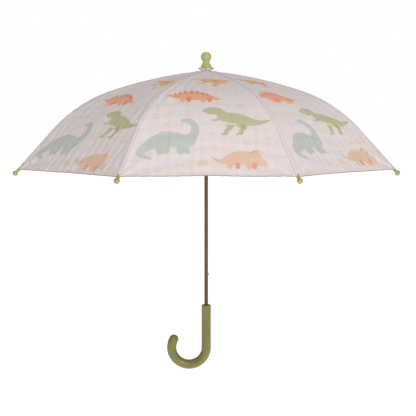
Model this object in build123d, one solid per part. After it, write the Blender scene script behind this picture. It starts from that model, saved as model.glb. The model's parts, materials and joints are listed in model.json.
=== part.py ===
from build123d import *
import math
import os

# Children's umbrella, open. Millimetres, +Z up.
# The origin is on the shaft's axis, half way up the straight part of the handle.
# The crook points to -X. Panel 1 faces -Y, and ribs and panels are numbered
# anticlockwise, seen from above: panel 1 lies between rib 1 and rib 2.

# ---------------------------------------------------------------- driving sizes
RIB_COUNT = 8
GORE_ANGLE = 360.0 / RIB_COUNT
HALF_GORE = GORE_ANGLE / 2
CANOPY_TURN = 0.7  # the notch sits this far round from square to the crook
FIRST_RIB_AZIMUTH = -90.0 - HALF_GORE + CANOPY_TURN

# Rib: its pivot in the notch, then tangent arcs of (length, slope at start, slope
# at end), with slopes in degrees below the horizontal.
HINGE_RADIUS = 9.0
NOTCH_HINGE_Z = 549.0
RIB_ARCS = ((208.0, 6.3, 18.9), (142.0, 18.9, 47.5), (111.7, 47.5, 46.5))
RIB_LENGTH = sum(arc[0] for arc in RIB_ARCS)
RIB_WIDTH = 2.8
RIB_HALF_HEIGHT = 1.2
RIB_WALL = 0.5
BLADE_THICKNESS = 1.2
BLADE_LENGTH = 17.0
EYE_RADIUS = 2.0
WIRE_RADIUS = 0.6
EYE_CLEARANCE = 0.06

# Stretcher joint: place along the rib, and its depth under the rib's centreline.
JOINT_ALONG_RIB = 190.0
JOINT_DEPTH = 4.5
RIVET_RADIUS = 0.75
TAB_THICKNESS = 1.2
EAR_THICKNESS = 0.7
EAR_GAP = 1.8
STRETCHER_WIDTH = 3.2
STRETCHER_HEIGHT = 2.6

# Ball tips.
BALL_RADIUS = 5.4
NECK_RADIUS = 2.8
NECK_LENGTH = 12.0
RIB_PIN_RADIUS = 0.9

# Canopy: a thin skin over the ribs.
CANOPY_CORNER = RIB_LENGTH - 6.0
NECK_CLEARANCE = 0.8
CANOPY_UNDERSIDE = 2.0
CANOPY_THICKNESS = 0.5
PANEL_GAP = 0.3
CROWN_RADIUS = 11.0
CROWN_TO_RIBS = 24.0
STRAP_RIB = 5
STRAP_LENGTH = 120.0
STRAP_WIDTH = 14.0
STRAP_THICKNESS = 0.8
STRAP_CLEARANCE = 0.35
STRAP_TO_CORNER = 12.0
SNAP_RADIUS = 5.0
SNAP_HEIGHT = 1.6

# Shaft and what sits on it.
SHAFT_RADIUS = 4.0
SHAFT_WALL = 0.5
SHAFT_BOTTOM = 18.0
SHAFT_TOP = 574.0
NOTCH_RADIUS = 10.5
SLOT_WIDTH = 1.8
SLOT_FLOOR = 6.6
GROOVE_RADIUS = 8.35
RUNNER_RADIUS = 6.8
RUNNER_BORE = 4.3
RUNNER_FLANGE = 11.0
RUNNER_ABOVE_HINGE = 3.2
RUNNER_BELOW_HINGE = 64.0
WINDOW_DROP = 52.0
WINDOW_HEIGHT = 12.0
WINDOW_WIDTH = 4.4

# Catches: flat springs inside the shaft, each with a nose through a slot on +X.
CATCH_WIDTH = 2.6
CATCH_NOSE_REACH = 6.3
CATCH_NOSE_LENGTH = 9.0
CATCH_LEAF_LENGTH = 22.0
CATCH_LEAF_THICKNESS = 0.6
CATCH_LEAF_X = 2.4

# Handle.
GRIP_RADIUS = 10.3
GRIP_HALF = 47.6
CROOK_RADIUS = 38.0
CROOK_SWEEP = 209.0
BUSH_RADIUS = 6.4
BUSH_DEPTH = 34.0

# Finial and the ruffled fabric rosette under it.
FINIAL_BOTTOM = 557.5
FINIAL_TOP = 593.0
KNOB_RADIUS = 11.2
WAIST_RADIUS = 7.0
FLANGE_RADIUS = 11.7
ROSETTE_RADIUS = 17.6

# Fold: the lower arm of each rib ends this far from the vertical.
CLOSED_ANGLE = 2.5


# ---------------------------------------------------------------- the rib's line
def rib_place(along):
    """Radius, height and slope (radians) of the rib's centreline."""
    radius, height, left = HINGE_RADIUS, NOTCH_HINGE_Z, along
    for length, start, end in RIB_ARCS:
        start, end = math.radians(start), math.radians(end)
        part = min(left, length)
        bend = length / (end - start)
        slope = start + (end - start) * part / length
        radius += bend * (math.sin(slope) - math.sin(start))
        height += bend * (math.cos(slope) - math.cos(start))
        left -= part
        if left <= 0:
            break
    return radius, height, slope


def rib_point(along, above):
    """A point in the rib's plane, a distance above its centreline."""
    radius, height, slope = rib_place(along)
    return Vector(radius + above * math.sin(slope), 0, height + above * math.cos(slope))


def rib_edge(begin, end, above):
    """Tangent arcs that follow the rib from begin to end."""
    knots = [begin]
    total = 0.0
    for length, _, _ in RIB_ARCS:
        total += length
        if begin < total < end:
            knots.append(total)
    knots.append(end)
    return [
        ThreePointArc(rib_point(a, above), rib_point((a + b) / 2, above), rib_point(b, above))
        for a, b in zip(knots, knots[1:])
    ]


def rib_band(begin, end, low, high, width):
    """A bar that follows the rib, between two distances above its centreline."""
    outline = rib_edge(begin, end, low) + rib_edge(begin, end, high)
    outline += [
        Line(rib_point(s, low), rib_point(s, high)) for s in (begin, end)
    ]
    return extrude(make_face(outline), amount=width / 2, both=True)


def along_rib(along, above=0.0):
    """A location on the rib, with +X along it and +Z away from the shaft's side."""
    _, _, slope = rib_place(along)
    return Location(rib_point(along, above), (0, math.degrees(slope), 0))


# ---------------------------------------------------------------- the linkage
NOTCH_HINGE = Vector(HINGE_RADIUS, 0, NOTCH_HINGE_Z)
JOINT = rib_point(JOINT_ALONG_RIB, -JOINT_DEPTH)
ARM_DROP = NOTCH_HINGE_Z - JOINT.Z
ARM_LENGTH = (JOINT - NOTCH_HINGE).length
RUNNER_HINGE_Z = NOTCH_HINGE_Z - 2 * ARM_DROP
RUNNER_HINGE = Vector(HINGE_RADIUS, 0, RUNNER_HINGE_Z)
OPEN_ANGLE = math.degrees(math.acos(ARM_DROP / ARM_LENGTH))
FOLD_ANGLE = OPEN_ANGLE - CLOSED_ANGLE
RUNNER_TRAVEL = 2 * ARM_LENGTH * math.cos(math.radians(CLOSED_ANGLE)) - 2 * ARM_DROP


def around(shape, index):
    """Turn a shape made on +X to the azimuth of a rib, 1 to RIB_COUNT."""
    return Rot(0, 0, FIRST_RIB_AZIMUTH + GORE_ANGLE * (index - 1)) * shape


def cylinder(radius, low, high):
    """An upright cylinder on the shaft's axis."""
    return Pos(0, 0, (low + high) / 2) * Cylinder(radius, high - low)


def cross_pin(radius, length):
    """A cylinder along Y, centred on the origin."""
    return Rot(90, 0, 0) * Cylinder(radius, length)


# ---------------------------------------------------------------- handle and shaft
def make_handle():
    grip = cylinder(GRIP_RADIUS, -GRIP_HALF, GRIP_HALF)
    grip = chamfer(grip.edges().sort_by(Axis.Z)[-1], 1.2)
    circle = Pos(0, 0, -GRIP_HALF) * Circle(GRIP_RADIUS)
    bend_axis = Axis((-CROOK_RADIUS, 0, -GRIP_HALF), (0, 1, 0))
    crook = revolve(circle, bend_axis, CROOK_SWEEP)
    turn = math.radians(CROOK_SWEEP)
    end = Pos(-CROOK_RADIUS * (1 - math.cos(turn)), 0, -GRIP_HALF - CROOK_RADIUS * math.sin(turn))
    handle = grip + crook + end * Sphere(GRIP_RADIUS)
    return handle - cylinder(BUSH_RADIUS, GRIP_HALF - BUSH_DEPTH, GRIP_HALF + 1)


def make_handle_bush():
    bush = cylinder(BUSH_RADIUS - 0.03, GRIP_HALF - BUSH_DEPTH, GRIP_HALF - 0.8)
    bush = chamfer(bush.edges().group_by(Axis.Z)[-1], 0.6)
    return bush - cylinder(SHAFT_RADIUS + 0.03, SHAFT_BOTTOM, GRIP_HALF + 1)


def make_shaft():
    tube = cylinder(SHAFT_RADIUS, SHAFT_BOTTOM, SHAFT_TOP)
    tube -= cylinder(SHAFT_RADIUS - SHAFT_WALL, SHAFT_BOTTOM - 1, SHAFT_TOP + 1)
    for low in (upper_nose_bottom(), lower_nose_bottom()):
        slot = Box(SHAFT_RADIUS + 2, CATCH_WIDTH + 0.6, CATCH_NOSE_LENGTH + 2)
        tube -= Pos(SHAFT_RADIUS / 2 + 1, 0, low + CATCH_NOSE_LENGTH / 2) * slot
    for height in (NOTCH_HINGE_Z - 4.5, stop_height()):
        tube -= Pos(0, 0, height) * cross_pin(0.83, 20)
    return tube


def make_finial():
    """A round knob over a waist and a flange, bored for the shaft's end."""
    bottom, top = FINIAL_BOTTOM, FINIAL_TOP
    knob = top - KNOB_RADIUS
    side = Spline(
        (FLANGE_RADIUS, 0, bottom + 4.2),
        (WAIST_RADIUS + 0.4, 0, bottom + 12.6),
        (WAIST_RADIUS, 0, bottom + 15.0),
        (KNOB_RADIUS, 0, knob),
        tangents=[(-0.35, 0, 1), (0, 0, 1)],
    )
    diagonal = math.sqrt(0.5)
    round_top = ThreePointArc(
        (KNOB_RADIUS, 0, knob),
        (KNOB_RADIUS * diagonal, 0, knob + KNOB_RADIUS * diagonal),
        (0, 0, top),
    )
    rim = ThreePointArc(
        (FLANGE_RADIUS - 0.8, 0, bottom),
        (FLANGE_RADIUS + 0.1, 0, bottom + 1.8),
        (FLANGE_RADIUS, 0, bottom + 4.2),
    )
    base = Line((FLANGE_RADIUS - 0.8, 0, bottom), (0, 0, bottom))
    axis_line = Line((0, 0, bottom), (0, 0, top))
    finial = revolve(make_face([side, round_top, rim, base, axis_line]), Axis.Z)
    return finial - cylinder(SHAFT_RADIUS + 0.03, bottom - 1, SHAFT_TOP + 0.5)


def make_top_rosette():
    low = FINIAL_BOTTOM - 3.4
    outline = Polyline(
        (SHAFT_RADIUS + 0.3, 0, low),
        (CROWN_RADIUS, 0, low),
        (ROSETTE_RADIUS, 0, low + 4.0),
        (ROSETTE_RADIUS - 0.4, 0, low + 5.0),
        (FLANGE_RADIUS + 0.6, 0, FINIAL_BOTTOM - 0.1),
        (SHAFT_RADIUS + 0.3, 0, FINIAL_BOTTOM - 0.1),
        close=True,
    )
    return revolve(make_face(outline), Axis.Z)


# ---------------------------------------------------------------- notch and runner
def slotted_flange(radius, low, high, hinge_z):
    """A disc with a radial slot for each arm and a groove for the hinge wire."""
    flange = cylinder(radius, low, high)
    slot_depth = radius + 1 - SLOT_FLOOR
    slot = Box(slot_depth, SLOT_WIDTH, high - low + 2)
    slot = Pos(SLOT_FLOOR + slot_depth / 2, 0, (low + high) / 2) * slot
    for index in range(1, RIB_COUNT + 1):
        flange -= around(slot, index)
    groove = cylinder(radius + 1, hinge_z - 0.7, hinge_z + 0.7)
    groove -= cylinder(GROOVE_RADIUS, hinge_z - 1, hinge_z + 1)
    return flange - groove


def hinge_wire(hinge_z):
    return Pos(0, 0, hinge_z) * Torus(HINGE_RADIUS, WIRE_RADIUS)


def make_notch():
    cap_bottom = NOTCH_HINGE_Z + 2.4
    notch = slotted_flange(NOTCH_RADIUS, NOTCH_HINGE_Z - 6.5, cap_bottom, NOTCH_HINGE_Z)
    notch += cylinder(NOTCH_RADIUS, cap_bottom, cap_bottom + 1.2)
    notch -= cylinder(SHAFT_RADIUS + 0.03, NOTCH_HINGE_Z - 10, cap_bottom + 5)
    return notch - Pos(0, 0, NOTCH_HINGE_Z - 4.5) * cross_pin(0.83, 20)


def make_notch_pin():
    return Pos(0, 0, NOTCH_HINGE_Z - 4.5) * cross_pin(0.8, 2 * NOTCH_RADIUS - 1.6)


def stop_height():
    return RUNNER_HINGE_Z + RUNNER_ABOVE_HINGE + 1.2


def make_stop_pin():
    return Pos(0, 0, stop_height()) * cross_pin(0.8, 11.0)


def make_runner():
    top = RUNNER_HINGE_Z + RUNNER_ABOVE_HINGE
    bottom = RUNNER_HINGE_Z - RUNNER_BELOW_HINGE
    crown = slotted_flange(RUNNER_FLANGE, RUNNER_HINGE_Z - 4.5, top, RUNNER_HINGE_Z)
    sleeve = cylinder(RUNNER_RADIUS, bottom, RUNNER_HINGE_Z - 4.5)
    collar = chamfer(cylinder(RUNNER_RADIUS + 2.2, bottom, bottom + 5).edges(), 0.8)
    shoulder = Pos(0, 0, RUNNER_HINGE_Z - 7.0) * Cone(RUNNER_RADIUS, RUNNER_FLANGE, 5.0)
    shoulder -= slots_below_crown()
    runner = crown + sleeve + collar + shoulder
    for drop in (18, 23, 28):
        runner += Pos(0, 0, RUNNER_HINGE_Z - drop) * Torus(RUNNER_RADIUS, 0.7)
    runner -= cylinder(RUNNER_BORE, bottom - 1, top + 1)
    window = Box(RUNNER_RADIUS + 2, WINDOW_WIDTH, WINDOW_HEIGHT)
    return runner - Pos(RUNNER_RADIUS / 2 + 3, 0, RUNNER_HINGE_Z - WINDOW_DROP) * window


def slots_below_crown():
    """The arm slots, carried on through the cone under the runner's crown."""
    depth = RUNNER_FLANGE + 1 - SLOT_FLOOR - 0.6
    slot = Pos(SLOT_FLOOR + 0.6 + depth / 2, 0, RUNNER_HINGE_Z - 7.0) * Box(depth, SLOT_WIDTH, 8)
    return [around(slot, index) for index in range(1, RIB_COUNT + 1)]


# ---------------------------------------------------------------- catches
def upper_nose_bottom():
    return RUNNER_HINGE_Z - WINDOW_DROP + WINDOW_HEIGHT / 2 - 0.5 - CATCH_NOSE_LENGTH


def lower_nose_bottom():
    return RUNNER_HINGE_Z - RUNNER_TRAVEL - WINDOW_DROP - WINDOW_HEIGHT / 2 + 0.5


def make_catch():
    """The upper catch, with the bottom of its nose at z = 0 and its anchor above."""
    inner, outer = CATCH_LEAF_X, CATCH_NOSE_REACH
    nose = Polyline(
        (inner, 0, 0),
        (inner + CATCH_LEAF_THICKNESS, 0, 0),
        (outer, 0, CATCH_NOSE_LENGTH - 2.0),
        (outer, 0, CATCH_NOSE_LENGTH),
        (inner, 0, CATCH_NOSE_LENGTH),
        close=True,
    )
    catch = extrude(make_face(nose), amount=CATCH_WIDTH / 2, both=True)
    leaf = Box(CATCH_LEAF_THICKNESS, CATCH_WIDTH, CATCH_LEAF_LENGTH + 4)
    leaf_middle = CATCH_NOSE_LENGTH + CATCH_LEAF_LENGTH / 2 - 2
    catch += Pos(inner + CATCH_LEAF_THICKNESS / 2, 0, leaf_middle) * leaf
    anchor = cylinder(3.1, -2.2, 2.2)
    return catch + Pos(0, 0, CATCH_NOSE_LENGTH + CATCH_LEAF_LENGTH) * anchor


def make_upper_catch():
    return Pos(0, 0, upper_nose_bottom()) * make_catch()


def make_lower_catch():
    flipped = Rot(180, 0, 0) * make_catch()
    return Pos(0, 0, lower_nose_bottom() + CATCH_NOSE_LENGTH) * flipped


# ---------------------------------------------------------------- ribs and stretchers
def make_rib():
    pin_root = RIB_LENGTH - NECK_LENGTH - 3
    steel = rib_band(BLADE_LENGTH - 3, pin_root, -RIB_HALF_HEIGHT, RIB_HALF_HEIGHT, RIB_WIDTH)
    steel -= rib_band(
        BLADE_LENGTH,
        pin_root - 4,
        -RIB_HALF_HEIGHT - 0.5,
        RIB_HALF_HEIGHT - RIB_WALL,
        RIB_WIDTH - 2 * RIB_WALL,
    )
    steel += rib_band(0, BLADE_LENGTH, -RIB_HALF_HEIGHT, RIB_HALF_HEIGHT, BLADE_THICKNESS)
    steel += Pos(NOTCH_HINGE) * cross_pin(EYE_RADIUS, BLADE_THICKNESS)
    steel -= Pos(NOTCH_HINGE) * cross_pin(WIRE_RADIUS + EYE_CLEARANCE, 4)
    pin_length = NECK_LENGTH - 1
    pin = along_rib(pin_root) * Pos(pin_length / 2 - 1, 0, 0) * Rot(0, 90, 0)
    return steel + pin * Cylinder(RIB_PIN_RADIUS, pin_length)


def make_rib_clip():
    """A saddle pressed round the rib, its hinge tab, and the rivet through the tab."""
    saddle = Pos(0, 0, -0.65) * Box(7.0, RIB_WIDTH + 1.2, 2.9)
    saddle -= Pos(0, 0, 0.35) * Box(8.0, RIB_WIDTH + 0.2, 3.3)
    saddle += Pos(0, 0, -4.2) * Box(4.4, TAB_THICKNESS, 4.2)
    saddle -= Pos(0, 0, -JOINT_DEPTH) * cross_pin(RIVET_RADIUS + 0.03, 6)
    rivet = cross_pin(RIVET_RADIUS, 2 * 2.2)
    for side in (-1, 1):
        rivet += Pos(0, side * 2.0, 0) * cross_pin(1.4, 0.4)
    rivet = Pos(0, 0, -JOINT_DEPTH) * rivet
    place = along_rib(JOINT_ALONG_RIB)
    return Compound([place * saddle, place * rivet])


def make_stretcher():
    """Made along +X from the runner's hinge, then lifted to the rib's joint."""
    fork_root = ARM_LENGTH - 4.0
    channel_length = fork_root - 14.0
    middle = 14.0 + channel_length / 2
    bar = Pos(middle, 0, 0) * Box(channel_length, STRETCHER_WIDTH, STRETCHER_HEIGHT)
    inside = Box(channel_length - 6, STRETCHER_WIDTH - 1.0, STRETCHER_HEIGHT)
    bar -= Pos(middle, 0, -0.5) * inside
    bar += Pos(8.5, 0, 0) * Box(17.0, BLADE_THICKNESS, 2.4)
    bar += cross_pin(EYE_RADIUS, BLADE_THICKNESS)
    bar -= cross_pin(WIRE_RADIUS + EYE_CLEARANCE, 4)
    for side in (-1, 1):
        ear = Pos(ARM_LENGTH - 2.5, 0, 0) * Box(5.0, EAR_THICKNESS, 2.4)
        ear += Pos(ARM_LENGTH, 0, 0) * cross_pin(EYE_RADIUS, EAR_THICKNESS)
        bar += Pos(0, side * (EAR_GAP + EAR_THICKNESS) / 2, 0) * ear
    bar -= Pos(ARM_LENGTH, 0, 0) * cross_pin(RIVET_RADIUS + 0.05, 6)
    lift = 90 - OPEN_ANGLE
    return Pos(RUNNER_HINGE) * Rot(0, -lift, 0) * bar


def make_tip():
    """A ball with a neck that takes the rib's end and a rim for the stitches."""
    neck = Pos(-NECK_LENGTH / 2, 0, 0) * Rot(0, 90, 0) * Cylinder(NECK_RADIUS, NECK_LENGTH)
    tip = Sphere(BALL_RADIUS) + neck
    tip += Pos(-NECK_LENGTH + 5.2, 0, 0) * Rot(0, 90, 0) * Torus(NECK_RADIUS, 0.5)
    bore = Pos(-NECK_LENGTH / 2 - 2, 0, 0) * Rot(0, 90, 0)
    tip -= bore * Cylinder(RIB_PIN_RADIUS + 0.3, NECK_LENGTH)
    return along_rib(RIB_LENGTH) * tip


# ---------------------------------------------------------------- canopy
def gore_curve(above, begin, end, count):
    """Points down the middle of a panel, which is straight across from rib to rib."""
    points = []
    for step in range(count + 1):
        place = rib_point(begin + (end - begin) * step / count, above)
        points.append((place.X * math.cos(math.radians(HALF_GORE)), 0, place.Z))
    return points


def canopy_sheet(width):
    """A skin as wide as stated that follows a panel's middle, with the crown's flat."""
    low, high = CANOPY_UNDERSIDE, CANOPY_UNDERSIDE + CANOPY_THICKNESS
    lower = gore_curve(low, CROWN_TO_RIBS, CANOPY_CORNER, 16)
    upper = gore_curve(high, CROWN_TO_RIBS, CANOPY_CORNER, 16)
    edges = [Spline(*lower), Spline(*upper), Line(lower[-1], upper[-1])]
    cap_z = NOTCH_HINGE_Z + 3.9
    cap_top = cap_z + CANOPY_THICKNESS
    under = [(SHAFT_RADIUS - 1, 0, cap_z), (CROWN_RADIUS, 0, cap_z), lower[0]]
    over = [(SHAFT_RADIUS - 1, 0, cap_top), (CROWN_RADIUS, 0, cap_top), upper[0]]
    edges += [Line(a, b) for run in (under, over) for a, b in zip(run, run[1:])]
    edges.append(Line(under[0], over[0]))
    return extrude(make_face(edges), amount=width / 2, both=True)


def make_canopy_panel():
    reach = 445.0
    root = PANEL_GAP / math.sin(math.radians(HALF_GORE))
    side = (reach - root) * math.tan(math.radians(HALF_GORE))
    wedge = make_face(Polyline((root, 0), (reach, side), (reach, -side), close=True))
    panel = canopy_sheet(400) & Pos(0, 0, 300) * extrude(wedge, amount=300)
    neck = Rot(0, 90, 0) * Cylinder(NECK_RADIUS + NECK_CLEARANCE, NECK_LENGTH + 8)
    neck = along_rib(RIB_LENGTH) * Pos(-NECK_LENGTH / 2 + 3, 0, 0) * neck
    for side in (-1, 1):
        panel -= Rot(0, 0, side * HALF_GORE) * neck
    return panel - cylinder(SHAFT_RADIUS + 0.6, 300, 600)


def make_tie_strap():
    """The closing strap, sewn on at the hem and laid up the seam over a rib."""
    low = CANOPY_UNDERSIDE + CANOPY_THICKNESS + STRAP_CLEARANCE
    end = CANOPY_CORNER - STRAP_TO_CORNER
    return rib_band(end - STRAP_LENGTH, end, low, low + STRAP_THICKNESS, STRAP_WIDTH)


def make_strap_snap():
    """The button near the strap's free end."""
    above = CANOPY_UNDERSIDE + CANOPY_THICKNESS + STRAP_CLEARANCE + STRAP_THICKNESS
    along = CANOPY_CORNER - STRAP_TO_CORNER - STRAP_LENGTH + 8.0
    disc = Pos(0, 0, SNAP_HEIGHT / 2 + 0.02) * Cylinder(SNAP_RADIUS, SNAP_HEIGHT)
    disc = fillet(disc.edges().group_by(Axis.Z)[-1], 0.7)
    return along_rib(along, above) * disc


# ---------------------------------------------------------------- all the pieces
def build():
    nodes = {
        "handle": make_handle(),
        "handle_bush": make_handle_bush(),
        "shaft": make_shaft(),
        "finial": make_finial(),
        "top_rosette": make_top_rosette(),
        "notch": make_notch(),
        "notch_ring": hinge_wire(NOTCH_HINGE_Z),
        "notch_pin": make_notch_pin(),
        "stop_pin": make_stop_pin(),
        "runner": make_runner(),
        "runner_ring": hinge_wire(RUNNER_HINGE_Z),
        "upper_catch": make_upper_catch(),
        "lower_catch": make_lower_catch(),
    }
    patterns = {
        "rib": make_rib(),
        "rib_clip": make_rib_clip(),
        "stretcher": make_stretcher(),
        "tip": make_tip(),
    }
    panel = Rot(0, 0, HALF_GORE) * make_canopy_panel()
    for index in range(1, RIB_COUNT + 1):
        for name, shape in patterns.items():
            nodes[f"{name}_{index}"] = around(shape, index)
        nodes[f"canopy_panel_{index}"] = around(panel, index)
    nodes["tie_strap"] = around(make_tie_strap(), STRAP_RIB)
    nodes["strap_snap"] = around(make_strap_snap(), STRAP_RIB)
    return nodes


if __name__ == "__main__":
    os.makedirs("parts", exist_ok=True)
    for name, shape in build().items():
        export_step(shape, f"parts/{name}.step")
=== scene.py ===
"""A children's umbrella with a printed canopy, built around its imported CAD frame."""
import json
import math

import bpy
import numpy as np
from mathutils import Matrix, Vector


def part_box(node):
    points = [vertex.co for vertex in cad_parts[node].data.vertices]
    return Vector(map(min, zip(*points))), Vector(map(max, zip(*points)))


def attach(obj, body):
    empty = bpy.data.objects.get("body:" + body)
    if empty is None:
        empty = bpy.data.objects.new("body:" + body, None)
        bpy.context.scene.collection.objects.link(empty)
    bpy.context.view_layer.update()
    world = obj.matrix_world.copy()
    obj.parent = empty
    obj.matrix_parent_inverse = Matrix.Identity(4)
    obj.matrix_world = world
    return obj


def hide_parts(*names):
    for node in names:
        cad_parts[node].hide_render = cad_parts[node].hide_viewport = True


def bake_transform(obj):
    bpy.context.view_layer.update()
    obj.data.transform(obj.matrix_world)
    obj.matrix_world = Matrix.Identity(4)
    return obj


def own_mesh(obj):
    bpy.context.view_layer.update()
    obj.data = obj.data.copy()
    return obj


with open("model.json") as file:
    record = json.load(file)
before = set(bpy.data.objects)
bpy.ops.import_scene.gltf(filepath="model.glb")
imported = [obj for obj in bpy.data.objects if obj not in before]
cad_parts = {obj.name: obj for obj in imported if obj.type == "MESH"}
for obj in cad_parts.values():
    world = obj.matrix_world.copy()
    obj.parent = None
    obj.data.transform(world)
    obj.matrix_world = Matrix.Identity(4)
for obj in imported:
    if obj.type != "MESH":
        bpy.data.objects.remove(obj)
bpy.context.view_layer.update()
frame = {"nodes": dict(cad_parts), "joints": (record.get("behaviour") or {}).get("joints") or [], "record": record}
joints = {joint["name"]: joint for joint in frame["joints"]}

# ------------------------------------------------------------ sizes, in metres
RIB_COUNT = 8
HALF_GORE = math.pi / RIB_COUNT
COS_HALF, SIN_HALF = math.cos(HALF_GORE), math.sin(HALF_GORE)
UP = np.array([0.0, 0.0, 1.0])

# Each arc of a rib: its length, and the slopes in degrees at its start and end.
RIB_ARCS = ((0.208, 6.3, 18.9), (0.142, 18.9, 47.5), (0.1117, 47.5, 46.5))
RIB_LENGTH = sum(arc[0] for arc in RIB_ARCS)

# Places along a rib: where the cloth starts at the crown and where its corner is sewn on.
CROWN_START = 0.006
CORNER = RIB_LENGTH - 0.0060

CLOTH_ABOVE_RIB = 0.0025
CLOTH_THICKNESS = 0.0004
HEM_WIDTH = 0.006
HEM_SCALLOP = 0.0040
SEAM_HALF_WIDTH = 0.0042
NECK_LENGTH = 0.012
BALL_RADIUS = 0.0054
NECK_RADIUS = 0.0028

# The frame's hinges: the first rib's in the notch, and its flex joint at the clip.
hinge = Vector(joints["canopy_fold"]["pos_m"])
HINGE_RADIUS = math.hypot(hinge.x, hinge.y)
HINGE_HEIGHT = hinge.z
FIRST_AZIMUTH = math.atan2(hinge.y, hinge.x)
FOLD = math.radians(joints["canopy_fold"]["range_deg"][1])
FLEX = math.radians(-joints["rib_flex_1"]["range_deg"][0])
flex_joint = Vector(joints["rib_flex_1"]["pos_m"])
FLEX_RADIUS = math.hypot(flex_joint.x, flex_joint.y)


# ------------------------------------------------------------ the ribs' line
def rib_line(along):
    """Radius, height and slope of a rib's centreline, for an array of distances."""
    along = np.asarray(along, float)
    radius = np.full(along.shape, HINGE_RADIUS)
    height = np.full(along.shape, HINGE_HEIGHT)
    slope = np.full(along.shape, math.radians(RIB_ARCS[0][1]))
    left = along.copy()
    for number, (length, start, end) in enumerate(RIB_ARCS):
        start, end = math.radians(start), math.radians(end)
        part = np.maximum(left, 0.0) if number == len(RIB_ARCS) - 1 else np.clip(left, 0.0, length)
        bend = length / (end - start)
        here = start + (end - start) * part / length
        radius += bend * (np.sin(here) - math.sin(start))
        height += bend * (np.cos(here) - math.cos(start))
        slope = np.where(left > 0, here, slope)
        left = left - length
    return radius, height, slope


def flex_distance():
    """How far along the rib its flex joint is."""
    along = np.linspace(0.05, 0.4, 3501)
    return float(along[np.argmin(np.abs(rib_line(along)[0] - FLEX_RADIUS))])


FLEX_ALONG = flex_distance()


def azimuth(index):
    """Azimuth of a rib; half numbers are the middles of gores."""
    return FIRST_AZIMUTH + 2 * HALF_GORE * (index - 1)


def radial(angle):
    return np.array([math.cos(angle), math.sin(angle), 0.0])


def tangential(angle):
    return np.array([-math.sin(angle), math.cos(angle), 0.0])


def gore_number(number):
    """Gore N is the one anticlockwise of rib N; the count wraps round."""
    return (number - 1) % RIB_COUNT + 1


def rib_frame(index, along, above=0.0):
    """Point, outward normal and direction of travel on a rib."""
    radius, height, slope = (float(v) for v in rib_line(along))
    out = radial(azimuth(index))
    normal = out * math.sin(slope) + UP * math.cos(slope)
    forward = out * math.cos(slope) - UP * math.sin(slope)
    return out * radius + UP * height + normal * above, normal, forward


# ------------------------------------------------------------ mesh helpers
def make_object(name, vertices, faces, materials, smooth=True):
    """A mesh object in the scene. materials is one material or a list of them."""
    mesh = bpy.data.meshes.new(name)
    mesh.from_pydata(np.asarray(vertices, float).tolist(), [], faces)
    mesh.update()
    if smooth:
        mesh.shade_smooth()
    for material in materials if isinstance(materials, list) else [materials]:
        mesh.materials.append(material)
    thing = bpy.data.objects.new(name, mesh)
    bpy.context.scene.collection.objects.link(thing)
    return thing


def grid_faces(rows, columns, start=0, flip=False, wrap=False):
    """Quads of a grid of vertices, row by row. wrap joins the last column to the first."""
    faces = []
    for row in range(rows - 1):
        for column in range(columns if wrap else columns - 1):
            right = (column + 1) % columns
            quad = [
                start + row * columns + column,
                start + row * columns + right,
                start + (row + 1) * columns + right,
                start + (row + 1) * columns + column,
            ]
            faces.append(quad[::-1] if flip else quad)
    return faces


def shell(name, outer, inner, normals, materials):
    """A thin closed sheet between two grids, whose rows run outward and columns anticlockwise."""
    rows, columns = outer.shape[:2]
    count = rows * columns
    faces = grid_faces(rows, columns, 0, flip=True)
    front = len(faces)
    faces += grid_faces(rows, columns, count)
    back = len(faces)
    border = list(range(columns))
    border += [r * columns + columns - 1 for r in range(1, rows)]
    border += [(rows - 1) * columns + c for c in range(columns - 2, -1, -1)]
    border += [r * columns for r in range(rows - 2, 0, -1)]
    faces += [[a, b, b + count, a + count] for a, b in zip(border, border[1:] + border[:1])]
    vertices = np.concatenate([outer.reshape(-1, 3), inner.reshape(-1, 3)])
    thing = make_object(name, vertices, faces, materials)
    index = np.zeros(len(faces), np.int32)
    index[front:back] = 1 if len(thing.data.materials) > 1 else 0
    thing.data.polygons.foreach_set("material_index", index)
    both = np.concatenate([normals.reshape(-1, 3), -normals.reshape(-1, 3)])
    thing.data.normals_split_custom_set_from_vertices(both.tolist())
    return thing


def add_uv(thing, uv):
    """One UV point per vertex, in metres of cloth."""
    layer = thing.data.uv_layers.new(name="UVMap")
    loops = np.zeros(len(thing.data.loops), np.int32)
    thing.data.loops.foreach_get("vertex_index", loops)
    layer.data.foreach_set("uv", np.asarray(uv, np.float32)[loops].ravel())


def add_value(thing, name, values):
    thing.data.attributes.new(name, "FLOAT", "POINT")
    thing.data.attributes[name].data.foreach_set("value", np.asarray(values, np.float32).ravel())


def add_colour(thing, name, colours):
    rgba = np.ones((len(colours), 4), np.float32)
    rgba[:, :3] = colours
    thing.data.attributes.new(name, "FLOAT_COLOR", "POINT")
    thing.data.attributes[name].data.foreach_set("color", rgba.ravel())


def lathe(name, profile, material, segments):
    """A turned piece on +Z from (radius, height) points that start and end on the axis."""
    rings = profile[1:-1]
    angles = np.arange(segments) * math.tau / segments
    points = [(r * math.cos(a), r * math.sin(a), z) for r, z in rings for a in angles]
    faces = grid_faces(len(rings), segments, wrap=True)
    last = (len(rings) - 1) * segments
    points += [(0.0, 0.0, profile[0][1]), (0.0, 0.0, profile[-1][1])]
    low, high = len(points) - 2, len(points) - 1
    faces += [[low, (k + 1) % segments, k] for k in range(segments)]
    faces += [[high, last + k, last + (k + 1) % segments] for k in range(segments)]
    return make_object(name, points, faces, material)


def place(thing, origin, x_axis, z_axis):
    """Moves a mesh made at the origin to a point, with its X and Z axes turned as given."""
    turn = np.stack([x_axis, np.cross(z_axis, x_axis), z_axis], axis=1)
    co = np.array([v.co for v in thing.data.vertices])
    thing.data.vertices.foreach_set("co", (co @ turn.T + origin).ravel())
    thing.data.update()


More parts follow.
